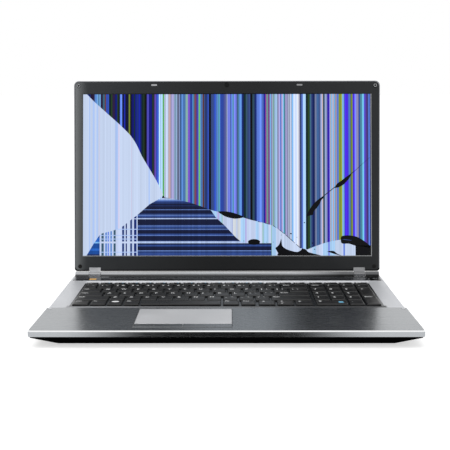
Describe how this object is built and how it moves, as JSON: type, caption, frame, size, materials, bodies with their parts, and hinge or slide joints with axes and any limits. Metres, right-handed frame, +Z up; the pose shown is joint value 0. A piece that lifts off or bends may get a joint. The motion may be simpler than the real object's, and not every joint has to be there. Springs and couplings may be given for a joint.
{
  "type": "laptop computer",
  "caption": "Open wide laptop with a cracked screen, full keyboard with number pad, offset touchpad, brushed palm rest and a slide-out disc tray.",
  "frame": {"origin": "middle of the opened laptop's footprint box, at the level of the feet's undersides", "axes": "+X to the user's right, +Y from the user towards the hinges, +Z up"},
  "size_m": [0.41, 0.3094, 0.2727],
  "materials": {
    "black_shell": "fine matte black moulding",
    "deck_silver": "satin silver lacquer",
    "brushed_palm_rest": "lengthwise brushed sheet",
    "bar_silver": "smooth silver lacquer",
    "strip_dark": "smooth dark grey",
    "key_black": "fine textured key caps with white legends",
    "touchpad_silver": "smooth satin silver",
    "rubber_feet": "matte rubber",
    "circuit_board": "green laminate with black chips",
    "inner_plastic": "plain black moulding",
    "copper": "bare copper",
    "drive_metal": "cast and sheet aluminium",
    "battery_wrap": "wrapped cells",
    "drive_steel": "thin plated sheet",
    "hinge_steel": "pressed steel",
    "cap_bright": "bright satin plating",
    "lid_metal": "brushed dark silver sheet",
    "bezel_dark": "fine satin dark grey",
    "screen_glass": "matte panel film, cracked, with leaked dark blots and coloured lines",
    "lens_glass": "glossy black lens",
    "cable_tape": "taped ribbon cable"
  },
  "bodies": {
    "base": {"bottom_cover": "black_shell", "top_case": "deck_silver", "palm_rest": "brushed_palm_rest", "hinge_bar": "bar_silver", "control_strip": "strip_dark", "keyboard": "deck_silver", "touchpad": "touchpad_silver", "motherboard": "circuit_board", "memory_module": "circuit_board", "wireless_card": "circuit_board", "fan_housing": "inner_plastic", "heat_pipe": "copper", "hard_drive": "drive_metal", "battery_pack": "battery_wrap", "optical_drive": "drive_steel", "speaker_left": "inner_plastic", "speaker_right": "inner_plastic", "network_jack": "drive_steel", "power_jack": "inner_plastic", "hinge_bracket_left": "hinge_steel", "hinge_bracket_right": "hinge_steel", "deck_stud_left": "deck_silver", "deck_stud_right": "deck_silver", "foot_front_left": "rubber_feet", "foot_front_right": "rubber_feet", "foot_rear_left": "rubber_feet", "foot_rear_right": "rubber_feet"},
    "lid": {"lid_cover": "lid_metal", "screen_bezel": "bezel_dark", "screen_panel": "screen_glass", "backlight_unit": "drive_metal", "webcam_board": "circuit_board", "webcam_lens": "lens_glass", "microphone_left": "cap_bright", "microphone_right": "cap_bright", "bumper_top_left": "rubber_feet", "bumper_top_right": "rubber_feet", "bumper_bottom_left": "rubber_feet", "bumper_bottom_right": "rubber_feet", "hinge_cap_left": "cap_bright", "hinge_cap_right": "cap_bright", "hinge_arm_left": "hinge_steel", "hinge_arm_right": "hinge_steel", "display_cable": "cable_tape"},
    "space_bar": {"space_bar": "key_black"},
    "left_shift_key": {"left_shift_key": "key_black"},
    "right_shift_key": {"right_shift_key": "key_black"},
    "caps_lock_key": {"caps_lock_key": "key_black"},
    "enter_key": {"enter_key": "key_black"},
    "tab_key": {"tab_key": "key_black"},
    "backspace_key": {"backspace_key": "key_black"},
    "number_pad_zero_key": {"number_pad_zero_key": "key_black"},
    "number_pad_enter_key": {"number_pad_enter_key": "key_black"},
    "number_pad_plus_key": {"number_pad_plus_key": "key_black"},
    "touchpad_button_left": {"touchpad_button_left": "brushed_palm_rest"},
    "touchpad_button_right": {"touchpad_button_right": "brushed_palm_rest"},
    "power_button": {"power_button": "bar_silver"},
    "fan_rotor": {"fan_rotor": "inner_plastic"},
    "disc_tray": {"disc_tray": "black_shell"},
    "eject_button": {"eject_button": "black_shell"}
  },
  "joints": [
    {"name": "lid_hinge", "type": "hinge", "parent": "base", "child": "lid", "pos_m": [0, 0.1011, 0.0211], "axis": [1, 0, 0], "range_deg": [-35, 100.6]},
    {"name": "space_bar_press", "type": "slide", "parent": "base", "child": "space_bar", "axis": [0, 0, -1], "range_m": [0, 0.0018], "stiffness_N_per_m": 300},
    {"name": "left_shift_press", "type": "slide", "parent": "base", "child": "left_shift_key", "axis": [0, 0, -1], "range_m": [0, 0.0018], "stiffness_N_per_m": 300},
    {"name": "right_shift_press", "type": "slide", "parent": "base", "child": "right_shift_key", "axis": [0, 0, -1], "range_m": [0, 0.0018], "stiffness_N_per_m": 300},
    {"name": "caps_lock_press", "type": "slide", "parent": "base", "child": "caps_lock_key", "axis": [0, 0, -1], "range_m": [0, 0.0018], "stiffness_N_per_m": 300},
    {"name": "enter_press", "type": "slide", "parent": "base", "child": "enter_key", "axis": [0, 0, -1], "range_m": [0, 0.0018], "stiffness_N_per_m": 300},
    {"name": "tab_press", "type": "slide", "parent": "base", "child": "tab_key", "axis": [0, 0, -1], "range_m": [0, 0.0018], "stiffness_N_per_m": 300},
    {"name": "backspace_press", "type": "slide", "parent": "base", "child": "backspace_key", "axis": [0, 0, -1], "range_m": [0, 0.0018], "stiffness_N_per_m": 300},
    {"name": "number_pad_zero_press", "type": "slide", "parent": "base", "child": "number_pad_zero_key", "axis": [0, 0, -1], "range_m": [0, 0.0018], "stiffness_N_per_m": 300},
    {"name": "number_pad_enter_press", "type": "slide", "parent": "base", "child": "number_pad_enter_key", "axis": [0, 0, -1], "range_m": [0, 0.0018], "stiffness_N_per_m": 300},
    {"name": "number_pad_plus_press", "type": "slide", "parent": "base", "child": "number_pad_plus_key", "axis": [0, 0, -1], "range_m": [0, 0.0018], "stiffness_N_per_m": 300},
    {"name": "touchpad_left_press", "type": "slide", "parent": "base", "child": "touchpad_button_left", "axis": [0, 0, -1], "range_m": [0, 0.001], "stiffness_N_per_m": 1500},
    {"name": "touchpad_right_press", "type": "slide", "parent": "base", "child": "touchpad_button_right", "axis": [0, 0, -1], "range_m": [0, 0.001], "stiffness_N_per_m": 1500},
    {"name": "power_press", "type": "slide", "parent": "base", "child": "power_button", "axis": [0, 0, -1], "range_m": [0, 0.0006], "stiffness_N_per_m": 1500},
    {"name": "fan_spin", "type": "hinge", "parent": "base", "child": "fan_rotor", "pos_m": [-0.153, 0.0533, 0.0076], "axis": [0, 0, 1], "continuous": true},
    {"name": "disc_tray_slide", "type": "slide", "parent": "base", "child": "disc_tray", "axis": [1, 0, 0], "range_m": [0, 0.12]},
    {"name": "eject_press", "type": "slide", "parent": "disc_tray", "child": "eject_button", "axis": [-1, 0, 0], "range_m": [0, 0.0005], "stiffness_N_per_m": 1500}
  ]
}
